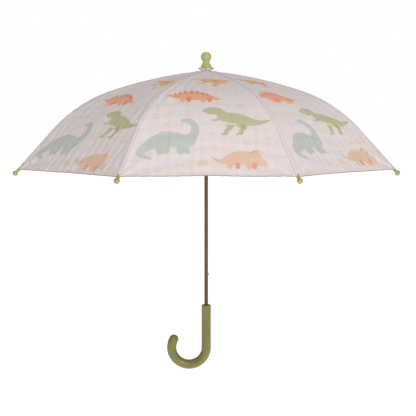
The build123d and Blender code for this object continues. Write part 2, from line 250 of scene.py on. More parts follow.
# ------------------------------------------------------------ the stretched cloth
# Heights of the cloth's relief, with the length of a wave where it repeats.
SAG = 0.0042
MIDDLE_RIDGE = 0.0011
MIDDLE_CREASE = 0.00025
TENSION = 0.0009
STRAIN, STRAIN_WAVE = 0.0004, 0.019
LEVEL_FOLD, LEVEL_WAVE = 0.00034, 0.031
RAY = 0.0008
SEAM_CREASE, SEAM_CREASE_WAVE = 0.00042, 0.0105
PUCKER, PUCKER_WAVE = 0.00028, 0.0135
CORNER_FOLD = 0.0012
HEM_STEP = 0.0003
CROWN_LIFT = 0.0020


def smooth(value):
    """Eases 0..1 in and out, held at the ends."""
    value = np.clip(value, 0.0, 1.0)
    return value * value * (3.0 - 2.0 * value)


def middle_length(along):
    """Distance down the middle of a gore, from the hinge, for an array of distances."""
    steps = np.linspace(0.0, CORNER, 1200)
    radius, height, slope = rib_line(steps)
    x = (radius + CLOTH_ABOVE_RIB * np.sin(slope)) * COS_HALF
    z = height + CLOTH_ABOVE_RIB * np.cos(slope)
    total = np.concatenate([[0.0], np.cumsum(np.hypot(np.diff(x), np.diff(z)))])
    return np.interp(along, steps, total)


GORE_LENGTH = float(middle_length(CORNER))


def ripples(seed, across, along):
    """Slow uneven tension in one gore, about one unit high."""
    rng = np.random.default_rng(seed)
    total = np.zeros(np.shape(across))
    for wave in (0.21, 0.15, 0.11, 0.08):
        turn, phase = rng.uniform(0, math.pi), rng.uniform(0, math.tau)
        run = across * math.cos(turn) + along * math.sin(turn)
        total += (wave / 0.21) * np.sin(math.tau * run / wave + phase)
    return total / 2.2


def relief(gore, along, across, y, radius):
    """How far one gore's cloth stands out of its plain stretched surface."""
    edge = 1.0 - across**2
    reach = np.clip(along / CORNER, 0.0, 1.0)
    from_seam = (1.0 - np.abs(across)) * radius * SIN_HALF
    calm = smooth(from_seam / 0.012) * smooth(along / 0.05)

    # the sag between the ribs, and the fold pressed down the middle of the gore
    push = -SAG * edge * reach * (1.0 - 0.35 * reach**4)
    push += MIDDLE_RIDGE * np.exp(-np.abs(y) / 0.014) * smooth((along - 0.06) / 0.1)
    push -= MIDDLE_CREASE * np.exp(-((y - 0.0012) / 0.0016) ** 2) * smooth((along - 0.1) / 0.1)

    # uneven tension, lines of strain down the gore, level folds and rays from the crown
    push += TENSION * calm * reach * ripples(40 + gore, y, along)
    strain = np.sin(math.tau * y / STRAIN_WAVE + 3.0 * np.sin(9.0 * along + gore)) * calm * reach
    push += STRAIN * strain * (0.4 + 0.6 * np.sin(23.0 * along + 2.0 * gore + 40.0 * y) ** 2)
    level = np.sin(math.tau * along / LEVEL_WAVE + 2.0 * np.sin(20.0 * y + 1.7 * gore))
    push += LEVEL_FOLD * level * calm * reach
    rays = np.sin(27.0 * across + 1.3 * gore + 6.0 * along) * np.exp(-(((along - 0.2) / 0.11) ** 2))
    push += RAY * rays * calm * (0.25 + across**2)

    # creases beside the seams, and the pucker of their stitches
    creases = np.sin(math.tau * from_seam / SEAM_CREASE_WAVE + gore + 2.0 * np.sin(12.0 * along))
    fade = np.exp(-from_seam / 0.024) * (1.0 - 0.55 * reach)
    push += SEAM_CREASE * creases * fade * calm * (0.5 + 0.5 * np.sin(17.0 * along + 2.0 * gore))
    pucker = np.sin(math.tau * along / PUCKER_WAVE + 5.0 * np.sin(31.0 * along + gore))
    push += PUCKER * pucker * np.exp(-from_seam / 0.011) * smooth(along / 0.05)

    # folds that fan out of the two corners, and the thicker hem
    for side in (-1, 1):
        down = CORNER - along
        sideways = (1.0 - side * across) * radius * SIN_HALF
        distance = np.hypot(down, sideways)
        angle = np.arctan2(sideways, down + 1e-6)
        fold = np.cos(7.0 * angle + gore) * np.exp(-distance / 0.065)
        push += CORNER_FOLD * fold * smooth(sideways / 0.02)
    push += HEM_STEP * smooth((along - (CORNER - HEM_WIDTH)) / 0.0012)
    return push


def gore_surface(gore, along, across):
    """The cloth of one gore, in the frame's axes. across runs -1 to 1, rib to rib."""
    low = smooth((along - 0.27) / (CORNER - 0.27))
    raised = along - HEM_SCALLOP * (1.0 - across**2) * low**2
    radius, height, slope = rib_line(raised)
    lift = CROWN_LIFT * (1.0 - smooth((along - 0.006) / 0.018))
    x = (radius + CLOTH_ABOVE_RIB * np.sin(slope)) * COS_HALF
    y = (radius + CLOTH_ABOVE_RIB * np.sin(slope)) * SIN_HALF * across
    z = height + CLOTH_ABOVE_RIB * np.cos(slope) + lift
    size = np.hypot(np.sin(slope), np.cos(slope) * COS_HALF)
    normal_x, normal_z = np.sin(slope) / size, np.cos(slope) * COS_HALF / size
    push = relief(gore, along, across, y, radius)
    x = x + normal_x * push
    z = z + normal_z * push
    middle = azimuth(gore + 0.5)
    return x[..., None] * radial(middle) + y[..., None] * tangential(middle) + z[..., None] * UP


def surface_normals(gore, along, across):
    """Outward normals, from points a short step to each side."""
    step, share = 0.0008, 0.004
    ahead = gore_surface(gore, along + step, across) - gore_surface(gore, along - step, across)
    beside = gore_surface(gore, along, across + share) - gore_surface(gore, along, across - share)
    normal = np.cross(ahead, beside)
    normal /= np.linalg.norm(normal, axis=-1, keepdims=True)
    return normal


# ------------------------------------------------------------ the printed pattern
# Strokes are chains of (across, up, half width) in millimetres on a gore, where
# across is measured from its middle and up from a line PRINT_BASE metres down the gore.
PRINT_BASE = 0.4247
FRONT_GORE = gore_number(round((1.5 * math.pi - FIRST_AZIMUTH) / (2 * HALF_GORE) + 0.5))
LEFT_GORE, RIGHT_GORE = gore_number(FRONT_GORE - 1), gore_number(FRONT_GORE + 1)

# Gores are cut from the roll a few millimetres off, and the two beside the front one on the
# bias, so that their print leans. Each row is the shift up the gore, the lean across it and
# the height about which it leans. The lean grows up to LEAN_TOP.
PRINT_OFFSETS = {LEFT_GORE: (-0.009, 0.13, 0.04), RIGHT_GORE: (-0.002, -0.15, 0.085)}
LEAN_TOP = 0.2

SAUROPOD = (
    ((-93, 71, 14), (-71, 75, 20.5), (-47, 72, 17), (-33, 74, 12)),
    ((-35, 74, 12), (-26, 87, 8.8), (-22, 102, 7), (-26, 115, 6), (-34, 123, 5.6), (-44, 122, 4.4)),
    ((-92, 70, 13), (-110, 58, 9), (-119, 47, 6.4), (-112, 38, 4.2), (-101, 34, 2.6), (-92, 27, 0.8)),
    ((-87, 64, 9), (-83, 48, 6)),
    ((-74, 60, 7.4), (-73, 49, 4.6)),
    ((-51, 60, 8.4), (-48, 48, 5.6)),
    ((-40, 62, 7), (-36, 48, 4.8)),
)
HUNTER = (
    ((-4, 150, 5.6), (9, 153, 8), (20, 150, 8.4)),
    ((1, 142, 2.4), (15, 145, 4.6)),
    ((22, 146, 8), (31, 134, 12.5), (48, 128, 15), (66, 122, 12), (84, 117, 7),
     (100, 118, 3.8), (113, 122, 1)),
    ((58, 117, 10), (64, 105, 5.4), (58, 96, 3.6), (60, 91, 2.8), (51, 90, 2.4)),
    ((42, 117, 9), (38, 105, 5.4), (32, 96, 3.6), (33, 91, 2.8), (25, 90, 2.4)),
    ((22, 130, 3.4), (13, 124, 2.4), (6, 126, 1.4)),
)
HORNED = (
    ((33, 30, 9), (50, 35, 14.5), (69, 35, 14), (82, 30, 11), (92, 24, 7.2), (99, 19, 4.2)),
    ((34, 29, 8), (18, 28, 4), (4, 38, 1.2)),
    ((79, 40, 8), (85, 48, 5)),
    ((88, 36, 2.8), (96, 49, 0.8)),
    ((97, 24, 2.0), (102, 32, 0.6)),
    ((38, 23, 6), (37, 13, 4)),
    ((70, 20, 6), (70, 13, 4)),
)
PLATED = (
    ((-54, 199, 9), (-28, 201, 16.5), (-7, 199, 12), (8, 193, 6.4), (20, 189, 3.4)),
    ((-52, 199, 8), (-66, 198, 3.6), (-79, 201, 1.2)),
    ((-45, 190, 6), (-46, 181, 4)),
    ((-9, 189, 6), (-8, 180, 4)),
)
RUNNER = (
    ((-31, 308, 1.6), (-16, 305, 4.4), (0, 300, 11), (16, 294, 13.5), (28, 292, 8.4),
     (37, 291, 5), (45, 283, 3.2)),
    ((14, 286, 8), (20, 272, 5), (12, 262, 3.4), (15, 254, 3), (22, 253, 2)),
    ((4, 290, 7), (-7, 280, 4), (-16, 276, 3)),
    ((27, 284, 4), (32, 275, 3), (37, 270, 2)),
)
BODY_GREY, BODY_GREEN, BODY_PEACH = (186, 194, 189), (184, 184, 142), (224, 188, 160)
BODY_ORANGE, BODY_MUSTARD = (236, 165, 126), (226, 168, 98)
PLATE_ORANGE, DARK_PEACH = (227, 132, 88), (228, 158, 122)
PALE_DAB, SANDY_DAB, TAN_DAB = (226, 208, 198), (225, 206, 190), (224, 205, 190)
SHAPES = (
    (BODY_GREY, SAUROPOD),
    (BODY_GREEN, HUNTER),
    (BODY_PEACH, HORNED),
    (BODY_ORANGE, PLATED),
    (BODY_MUSTARD, RUNNER),
    (PALE_DAB, (((-68, 146, 4), (-60, 147, 3)), ((-92, 128, 3), (-86, 129, 3.4)))),
    (TAN_DAB, (((-76, 112, 2.6), (-70, 111, 2)), ((-16, 22, 5), (-8, 23, 6), (-3, 21, 4)))),
    (PALE_DAB, (((-88, 6, 3), (-82, 6, 3.4)), ((-56, 19, 3), (-50, 19, 2.4)))),
    (SANDY_DAB, (((104, 79, 4), (111, 80, 3)), ((64, 67, 3), (69, 67, 3.4)))),
    (PALE_DAB, (((3, 91, 2.6), (9, 91, 3)), ((11, 62, 3), (17, 61, 2.4)))),
    (SANDY_DAB, (((89, 139, 3), (95, 140, 2.4)), ((56, 164, 3), (62, 164, 3.4)))),
    (PALE_DAB, (((-20, 262, 2.4), (-15, 262, 3)), ((-34, 240, 3), (-28, 241, 2.4)))),
    (SANDY_DAB, (((20, 232, 2.6), (26, 231, 3)), ((-6, 340, 2.4), (-2, 341, 2)))),
)

# A plate is a round base and a smaller point above it, from (across, up, half width).
PLATES = tuple(
    ((across, up, size), (across - 1.5, up + 1.7 * size, size * 0.62))
    for across, up, size in (
        (-67, 200, 2.6), (-59, 206, 3.4), (-50, 211, 4.0), (-40, 215, 4.6), (-29, 217, 4.8),
        (-18, 215, 4.6), (-8, 210, 4.0), (1, 204, 3.4), (9, 198, 2.6),
    )
)

# Printed over the shapes: plates, shaded legs, eyes, pale bellies and a patch.
DETAILS = (
    (PLATE_ORANGE, PLATES),
    (PLATE_ORANGE, (((-34, 191, 5), (-34, 182, 3.8)), ((3, 189, 5), (4, 181, 3.6)))),
    (DARK_PEACH, (((51, 20, 5), (51, 13, 3.8)), ((80, 20, 5), (79, 13, 3.8)),
                  ((76, 46, 2.2), (80, 50, 2.4)))),
    ((150, 156, 150), (((-36, 124, 1.2), (-35.6, 124, 1.2)),)),
    ((218, 210, 190), (((-65, 57, 3.2), (-57, 57, 3.4)),)),
    ((140, 130, 100), (((11, 155, 1.3), (11.5, 155, 1.3)),)),
    ((228, 214, 180), (((30, 119, 2.4), (42, 114.6, 2.8), (50, 114, 2)),)),
    ((170, 166, 122), (((61, 112, 3), (64, 104, 2.4)), ((60, 95, 1.6), (60, 91, 1.4)))),
    ((160, 120, 100), (((92, 27, 1.1), (92.5, 27, 1.1)),)),
    ((150, 90, 70), (((14, 191, 1.0), (14.4, 191, 1.0)),)),
    ((190, 148, 96), (((16, 296, 3), (17, 288, 2)),)),
)


def smooth_chain(chain, steps=6):
    """A stroke's circles, joined by a Catmull-Rom curve."""
    points = np.array(chain, float)
    if len(points) < 3:
        return points
    padded = np.vstack([2 * points[0] - points[1], points, 2 * points[-1] - points[-2]])
    out = []
    for a, b, c, d in zip(padded, padded[1:], padded[2:], padded[3:]):
        for t in np.arange(steps) / steps:
            out.append(
                0.5 * (2 * b + (c - a) * t + (2 * a - 5 * b + 4 * c - d) * t**2
                       + (3 * b - a - 3 * c + d) * t**3)
            )
    out.append(points[-1])
    return np.array(out)


def stroke_distance(points, chain):
    """Distance in millimetres from points to a stroke's edge, negative inside."""
    best = np.full(len(points), 1e3)
    circles = smooth_chain(chain)
    for start, end in zip(circles, circles[1:]):
        run = end[:2] - start[:2]
        share = (points - start[:2]) @ run / max(float(run @ run), 1e-9)
        share = np.clip(share, 0.0, 1.0)
        away = points - (start[:2] + share[:, None] * run)
        radius = start[2] + share * (end[2] - start[2])
        best = np.minimum(best, np.hypot(away[:, 0], away[:, 1]) - radius)
    return best


def soft_union(first, second, width=1.6):
    """The nearer of two distances, rounded where two strokes meet."""
    blend = np.clip(0.5 + 0.5 * (second - first) / width, 0.0, 1.0)
    return second + (first - second) * blend - width * blend * (1.0 - blend)


def linear(rgb):
    """Linear colour from 0 to 255 sRGB values."""
    value = np.array(rgb, float) / 255.0
    return np.where(value <= 0.04045, value / 12.92, ((value + 0.055) / 1.055) ** 2.4)


# Cloth and inks are a little lighter than they look in the studio's light.
LIT_GAIN = 1.08
CLOTH_COLOUR = linear((225, 215, 214)) * LIT_GAIN


FAR_FROM_PRINT = 30.0


def print_layer(points, shapes):
    """Distance to the nearest shape's edge and that shape's colour, per point."""
    nearest = np.full(len(points), FAR_FROM_PRINT)
    colour = np.tile(CLOTH_COLOUR, (len(points), 1))
    for rgb, chains in shapes:
        joined = np.full(len(points), FAR_FROM_PRINT + 10.0)
        for chain in chains:
            joined = soft_union(joined, stroke_distance(points, chain))
        closer = joined < nearest
        nearest = np.where(closer, joined, nearest)
        colour[closer] = linear(rgb) * LIT_GAIN
    return nearest, colour


def add_print(thing, flat_points):
    """Writes the pattern on both faces of a sheet; flat_points are (across, up) in metres."""
    points = flat_points * 1000.0
    for name, shapes in (("print", SHAPES), ("detail", DETAILS)):
        distance, colour = print_layer(points, shapes)
        add_value(thing, name + "_edge", np.tile(distance, 2))
        add_colour(thing, name + "_colour", np.tile(colour, (2, 1)))


# ------------------------------------------------------------ materials
class Shader:
    """A short way to write a node tree that ends in one Principled shader."""

    def __init__(self, name):
        self.material = bpy.data.materials.new(name)
        self.material.use_nodes = True
        self.tree = self.material.node_tree
        self.tree.nodes.clear()
        self.output = self.tree.nodes.new("ShaderNodeOutputMaterial")
        self.bsdf = self.tree.nodes.new("ShaderNodeBsdfPrincipled")
        self.tree.links.new(self.bsdf.outputs[0], self.output.inputs["Surface"])

    def node(self, kind, values=None, **settings):
        """A node by its short kind, with values for its inputs and settings for itself."""
        made = self.tree.nodes.new("ShaderNode" + kind)
        for key, value in settings.items():
            setattr(made, key, value)
        for key, value in (values or {}).items():
            self.put(made.inputs[key], value)
        return made

    def put(self, socket, value):
        """Links a socket to an input, or sets the input to a number or a colour."""
        if isinstance(value, bpy.types.NodeSocket):
            self.tree.links.new(value, socket)
        elif socket.type == "RGBA" and not hasattr(value, "__len__"):
            socket.default_value = (value, value, value, 1.0)
        elif socket.type == "RGBA":
            socket.default_value = (*list(value)[:3], 1.0)
        else:
            socket.default_value = value

    def math(self, operation, *values):
        return self.node("Math", dict(enumerate(values)), operation=operation).outputs[0]

    def times(self, first, second):
        return self.math("MULTIPLY", first, second)

    def split(self, vector):
        return self.node("SeparateXYZ", {0: vector}).outputs

    def mix(self, share, first, second):
        made = self.node("Mix", data_type="RGBA")
        self.put(made.inputs[0], share)
        self.put(made.inputs[6], first)
        self.put(made.inputs[7], second)
        return made.outputs[2]

    def between(self, value, low, high, start=0.0, end=1.0):
        """Maps low..high to start..end, held at the ends."""
        return self.node("MapRange", {0: value, 1: low, 2: high, 3: start, 4: end}).outputs[0]

    def noise(self, where, scale, detail=3.0):
        values = {"Vector": where, "Scale": scale, "Detail": detail}
        return self.node("TexNoise", values).outputs[0]

    def bump(self, height, distance, strength=1.0, below=None):
        values = {"Height": height, "Distance": distance, "Strength": strength}
        if below is not None:
            values["Normal"] = below
        return self.node("Bump", values).outputs[0]

    def finish(self, **values):
        """Sets the Principled shader's inputs, whose names have spaces for underscores."""
        for key, value in values.items():
            self.put(self.bsdf.inputs[key.replace("_", " ")], value)
        return self.material


WEAVE_PITCH = 0.0007
STITCH_PITCH = 0.003
TAPE_STITCH_PITCH = 0.0032


def weave(shader, uv):
    """A plain weave's height, from UV in metres."""
    across, along = shader.split(uv)[:2]
    turns = math.tau / WEAVE_PITCH
    warp = shader.math("SINE", shader.times(across, turns))
    weft = shader.math("SINE", shader.times(along, turns))
    return shader.times(warp, weft)


CLOTH_SHEEN = {"Sheen_Weight": 0.12, "Sheen_Roughness": 0.4, "Specular_IOR_Level": 0.35}

# Fine streaks in the cloth: noise drawn out down and across the gore, and its height.
STREAKS_DOWN = ((95.0, 7.0, 1.0), 0.0031)
STREAKS_ACROSS = ((11.0, 80.0, 1.0), 0.0016)


def cloth_material(name, ghost=0.0, shade=(1.0, 1.0, 1.0), hem=True):
    """Printed polyester; ghost is how much of the print is lost on the wrong side."""
    shader = Shader(name)
    uv = shader.node("UVMap", uv_map="UVMap").outputs[0]
    colour = CLOTH_COLOUR * np.array(shade)
    spot = shader.noise(uv, 55.0, 4.0)
    for layer in ("print", "detail"):
        edge = shader.node("Attribute", attribute_name=layer + "_edge").outputs["Fac"]
        paint = shader.node("Attribute", attribute_name=layer + "_colour").outputs["Color"]
        wobble = shader.math("MULTIPLY_ADD", spot, 0.9, -0.45)
        mask = shader.between(shader.math("ADD", edge, wobble), 0.35, -0.35)
        fade = shader.between(spot, 0.3, 0.75, 0.86 - ghost, 1.0 - ghost)
        mask = shader.times(mask, fade)
        colour = shader.mix(mask, colour, paint)
    if hem:
        across, up = shader.split(uv)[:2]
        # Painted shadow: a pinkish-brown line along the bottom of the hem, for the rolled edge and the shade under
        # it.
        line = shader.between(up, 0.0022, 0.0013)
        colour = shader.mix(shader.times(line, 0.85), colour, linear((176, 136, 120)))
        stitched = shader.math("ABSOLUTE", shader.math("SUBTRACT", up, HEM_WIDTH - 0.0012))
        dash = shader.math("SINE", shader.times(across, math.tau / STITCH_PITCH))
        thread = shader.times(shader.between(stitched, 0.0005, 0.0002),
                              shader.between(dash, -0.5, -0.2))
        colour = shader.mix(shader.times(thread, 0.4), colour, linear((203, 186, 180)))
    cloud = shader.noise(uv, 9.0, 2.0)
    colour = shader.mix(shader.between(cloud, 0.3, 0.7, 0.0, 0.05), colour, 0.5)
    normal = shader.bump(weave(shader, uv), 0.00006, 0.5)
    normal = shader.bump(shader.noise(uv, 150.0), 0.0004, 0.25, below=normal)
    for scale, height in (STREAKS_DOWN, STREAKS_ACROSS):
        drawn = shader.node("Mapping", {"Vector": uv, "Scale": scale}).outputs[0]
        normal = shader.bump(shader.noise(drawn, 1.0, 2.0), height, 0.8, below=normal)
    rough = shader.between(spot, 0.2, 0.8, 0.56, 0.7)
    return shader.finish(Base_Color=colour, Roughness=rough, Normal=normal, **CLOTH_SHEEN)


def seam_material(name):
    """The felled seam: a run of stitches near each edge, and a shaded groove beside it."""
    shader = Shader(name)
    uv = shader.node("UVMap", uv_map="UVMap").outputs[0]
    across, along = shader.split(uv)[:2]
    side = shader.math("ABSOLUTE", across)
    off = shader.math("ABSOLUTE", shader.math("SUBTRACT", side, SEAM_HALF_WIDTH * 0.72))
    dash = shader.math("SINE", shader.times(along, math.tau / TAPE_STITCH_PITCH))
    thread = shader.times(shader.between(off, 0.0005, 0.00025), shader.between(dash, -0.6, -0.3))
    groove = shader.between(shader.math("SUBTRACT", SEAM_HALF_WIDTH, side), 0.0012, 0.0003)
    spot = shader.noise(uv, 60.0)
    colour = shader.mix(shader.between(spot, 0.3, 0.7, 0.0, 0.08), CLOTH_COLOUR * 0.985,
                        linear((205, 192, 188)))
    colour = shader.mix(shader.times(thread, 0.55), colour, linear((196, 178, 172)))
    shadow = shader.times(groove, shader.between(along, 0.12, 0.32, 0.6, 0.25))
    colour = shader.mix(shadow, colour, linear((138, 122, 122)))
    height = shader.math("SUBTRACT", thread, groove)
    normal = shader.bump(height, 0.0003, 0.6)
    normal = shader.bump(weave(shader, uv), 0.00006, 0.5, below=normal)
    return shader.finish(Base_Color=colour, Roughness=0.62, Normal=normal, **CLOTH_SHEEN)


def plastic_material(name, rgb, dark, gloss, parting_line_and_side_shade=False):
    """Moulded plastic with flow marks and scuffs; a long moulding also has the line where its mould halves meet,
    and shade painted darker on its flanks, where the normals turn away from the Y axis.
    """
    shader = Shader(name)
    where = shader.node("TexCoord").outputs["Object"]
    flow = shader.noise(where, 18.0, 3.0)
    fine = shader.noise(where, 420.0, 3.0)
    colour = shader.mix(shader.between(flow, 0.3, 0.7), linear(rgb), linear(dark))
    height = shader.times(fine, 0.35)
    if parting_line_and_side_shade:
        side = shader.math("ABSOLUTE", shader.split(where)[1])
        line = shader.between(side, 0.0004, 0.0)
        height = shader.math("ADD", height, line)
        colour = shader.mix(shader.times(line, 0.25), colour, linear(dark))
        # Painted shade: the colour darkens where the normal turns away from the Y axis, for the shade on the
        # moulding's flanks.
        turned = shader.node("TexCoord").outputs["Normal"]
        facing = shader.math("ABSOLUTE", shader.split(turned)[1])
        painted_side_shade = shader.between(facing, 0.75, 0.05, 0.0, 0.8)
        colour = shader.mix(painted_side_shade, colour, linear(dark) * 0.68)
    normal = shader.bump(height, 0.00012, 0.5)
    scuffs = shader.between(shader.noise(where, 90.0, 5.0), 0.35, 0.75, 0.1, 0.26)
    return shader.finish(Base_Color=colour, Roughness=scuffs, Normal=normal,
                         Specular_IOR_Level=gloss)


def metal_material(name, rgb, rough, metallic=1.0, upright=False):
    """Drawn and plated steel, with duller patches; upright draws its fine lines down it."""
    shader = Shader(name)
    where = shader.node("TexCoord").outputs["Object"]
    stretch = (1.0, 1.0, 0.03) if upright else (1.0, 1.0, 1.0)
    lines = shader.node("Mapping", {"Vector": where, "Scale": stretch}).outputs[0]
    grainy = shader.noise(lines, 900.0, 2.0)
    patch = shader.noise(where, 45.0, 4.0)
    tone = linear(rgb)
    colour = shader.mix(shader.between(patch, 0.35, 0.7), tone, tone * 0.78)
    colour = shader.mix(shader.between(grainy, 0.4, 0.8, 0.0, 0.25), colour, tone * 1.25)
    dull = shader.between(patch, 0.3, 0.7, rough, rough + 0.14)
    normal = shader.bump(grainy, 0.00005, 0.4)
    return shader.finish(Base_Color=colour, Roughness=dull, Normal=normal, Metallic=metallic)


CLOTH = cloth_material("printed_cloth")
LINING = cloth_material("cloth_underside", ghost=0.45, shade=(0.94, 0.93, 0.92))
TAPE = seam_material("seam_tape")
ROSETTE_CLOTH = cloth_material("rosette_cloth", hem=False)
OLIVE = plastic_material("olive_plastic", (125, 121, 62), (114, 110, 54), 0.45, parting_line_and_side_shade=True)
LIGHT_GREEN = plastic_material("light_green_plastic", (192, 193, 132), (176, 177, 110), 0.5)
BRONZE = metal_material("bronze_plating", (102, 87, 61), 0.34, metallic=0.85, upright=True)
STEEL = metal_material("satin_steel", (150, 146, 136), 0.34)
WIRE = metal_material("drawn_wire", (190, 190, 188), 0.25)
SPRING = metal_material("spring_steel", (170, 170, 172), 0.22)
# Painted shade: the tips are the finial's light green plastic, made darker for the shade on them.
SHADED_TIP_GREEN = plastic_material("shaded_tip_green_plastic", (168, 169, 104), (152, 153, 88), 0.5)

FINISHES = {
    "shaft_steel": BRONZE,
    "rib_steel": STEEL,
    "wire": WIRE,
    "spring_steel": SPRING,
    "handle_green": OLIVE,
    "light_green": LIGHT_GREEN,
}


def finish_cad_nodes():
    """Gives each CAD node that stays in view its detailed material."""
    slots = {row["node"]: row["material_slot"] for row in frame["record"]["subparts"]}
    for name, thing in frame["nodes"].items():
        material = FINISHES.get(slots.get(name))
        if material is None:
            continue
        for slot in thing.material_slots:
            slot.material = material
        if not thing.material_slots:
            thing.data.materials.append(material)


finish_cad_nodes()


# ------------------------------------------------------------ the canopy's pieces
# A folded half gore's angle beside its rib, and how far the rib bows out of its chord.
PLEAT_ANGLES = {True: 32.4, False: 31.6}
RIB_BOW = {True: 0.008, False: 0.0026}


def fold_plane(rib, side, outer):
    """Axis and anchor that lay a half gore into a pleat beside its folded rib."""
    spread = math.radians(PLEAT_ANGLES[outer])
    turned = FOLD - FLEX if outer else FOLD
    out = radial(azimuth(rib)) * math.cos(turned) + UP * math.sin(turned)
    axis = tangential(azimuth(rib)) * side * math.cos(spread) - out * math.sin(spread)
    start, end = (FLEX_ALONG, RIB_LENGTH) if outer else (0.0, FLEX_ALONG)
    low, high = rib_frame(rib, start)[0], rib_frame(rib, end)[0]
    return axis, (low + high) / 2 + out * RIB_BOW[outer]


def half_area(along, across, gore):
    """Area of a half gore's mesh, from the diagonals of its quads."""
    points = gore_surface(gore, along, across)
    one = points[1:, 1:] - points[:-1, :-1]
    two = points[1:, :-1] - points[:-1, 1:]
    return float(np.linalg.norm(np.cross(one, two), axis=-1).sum() / 2)


def make_half_gore(rib, side, outer):
    """The cloth from a rib to the middle of the gore on one side of it."""
    gore = rib if side > 0 else gore_number(rib - 1)
    rows, columns = (88, 46) if outer else (50, 26)
    low, high = (FLEX_ALONG, CORNER) if outer else (CROWN_START, FLEX_ALONG)
    edges = (-1.0, 0.0) if side > 0 else (0.0, 1.0)
    along, across = np.meshgrid(
        np.linspace(low, high, rows), np.linspace(*edges, columns), indexing="ij"
    )
    points = gore_surface(gore, along, across)
    normals = surface_normals(gore, along, across)
    half = normals * CLOTH_THICKNESS / 2
    name = f"cloth_{rib}_{'right' if side > 0 else 'left'}_{'lower' if outer else 'upper'}"
    thing = shell(name, points + half, points - half, normals, [CLOTH, LINING])
    sideways = (rib_line(along)[0] * SIN_HALF * across).ravel()
    down = middle_length(along).ravel()
    flat = np.stack([sideways, GORE_LENGTH - down], axis=1)
    add_uv(thing, np.tile(flat, (2, 1)))
    cut_off = 0.003 * math.sin(2.4 * (gore - FRONT_GORE))
    shift, lean, foot = PRINT_OFFSETS.get(gore, (cut_off, 0.0, 0.0))
    up = PRINT_BASE - down - shift
    add_print(thing, np.stack([sideways - lean * (np.minimum(up, LEAN_TOP) - foot), up], axis=1))
    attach(thing, f"tip_{rib}" if outer else f"rib_{rib}")
    axis, anchor = fold_plane(rib, side, outer)
    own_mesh(thing)
    width = float(rib_line(high)[0] * SIN_HALF)
    length = float(middle_length(high) - middle_length(low))
    area = half_area(along, across, gore)
    return thing


for rib in range(1, RIB_COUNT + 1):
    for side in (-1, 1):
        for outer in (False, True):
            make_half_gore(rib, side, outer)
for rib in range(1, RIB_COUNT + 1):
    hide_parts(f"canopy_panel_{rib}")


# Across a seam, as shares of its half width, and its height above the cloth in metres.
SEAM_OFFSETS = (-1.0, -0.86, -0.5, -0.12, 0.12, 0.5, 0.86, 1.0)
SEAM_HEIGHTS = (0.0, 0.00042, 0.0005, 0.00062, 0.00062, 0.0005, 0.00042, 0.0)


def make_seam(rib):
    """The felled seam over a rib: a doubled edge that stands just proud of the cloth."""
    along = np.linspace(0.012, RIB_LENGTH - NECK_LENGTH, 150)
    offsets = np.array(SEAM_OFFSETS) * SEAM_HALF_WIDTH
    top = np.zeros((len(along), len(offsets), 3))
    bottom = np.zeros_like(top)
    normals = np.zeros_like(top)
    width = rib_line(along)[0] * SIN_HALF
    narrow = np.minimum(1.0, width * 0.8 / SEAM_HALF_WIDTH)
    for column, (offset, height) in enumerate(zip(offsets, SEAM_HEIGHTS)):
        gore = rib if offset > 0 else gore_number(rib - 1)
        from_rib = np.abs(offset) * narrow / width
        across = from_rib - 1.0 if offset > 0 else 1.0 - from_rib
        point = gore_surface(gore, along, across)
        normal = surface_normals(gore, along, across)
        ripple = 0.00012 * np.sin(math.tau * along / 0.0075 + offset * 900.0 + rib)
        raised = height + (0.0003 + ripple if height > 0 else 0.00022)
        top[:, column] = point + normal * np.broadcast_to(raised, along.shape)[:, None]
        bottom[:, column] = point - normal * 0.0001
        normals[:, column] = normal
    middle = (normals[:, 3] + normals[:, 4]) / 2
    normals[:, 3] = normals[:, 3] * 0.6 + middle * 0.4
    normals[:, 4] = normals[:, 4] * 0.6 + middle * 0.4
    thing = shell(f"seam_{rib}", top, bottom, normals, [TAPE])
    across_tape, along_tape = np.meshgrid(offsets, along)
    flat = np.stack([across_tape.ravel(), along_tape.ravel()], axis=1)
    add_uv(thing, np.tile(flat, (2, 1)))
    bend_with_rib(thing, rib)


FLEX_REACH = 0.025


def bend_with_rib(thing, rib):
    """Bakes a mesh's transform into its points; the rib's points FLEX_REACH each side of its flex joint are found
    but not used.
    """
    start = rib_frame(rib, FLEX_ALONG - FLEX_REACH)[0]
    end = rib_frame(rib, FLEX_ALONG + FLEX_REACH)[0]
    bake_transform(thing)


for rib in range(1, RIB_COUNT + 1):
    make_seam(rib)


# ------------------------------------------------------------ ribs and tips
RIB_WIDTH = 0.0028
RIB_HALF_HEIGHT = 0.0012
RIB_WALL = 0.0005
CHANNEL_START = 0.0150
PINCH_LENGTH = 0.006
BLADE_HALF = 0.0006
BLADE_START, BLADE_END = 0.0016, 0.017
EYE_BORE, EYE_RADIUS, EYE_SIDES = 0.0007, 0.0019, 24
PIN_RADIUS = 0.0009
PIN_ROOT = RIB_LENGTH - NECK_LENGTH - 0.003
PIN_END = RIB_LENGTH - 0.005


def ring_tube(rings, start):
    """Faces of a closed tube from a list of rings, with flat ends."""
    rows, columns = len(rings), len(rings[0])
    faces = grid_faces(rows, columns, start, wrap=True)
    faces.append([start + c for c in range(columns)][::-1])
    faces.append([start + (rows - 1) * columns + c for c in range(columns)])
    return faces


def rib_section(rib, along, shape):
    """A section's (sideways, upward) points, carried to a place along the rib."""
    point, normal, _ = rib_frame(rib, along)
    side = tangential(azimuth(rib))
    return [point + side * a + normal * b for a, b in shape]


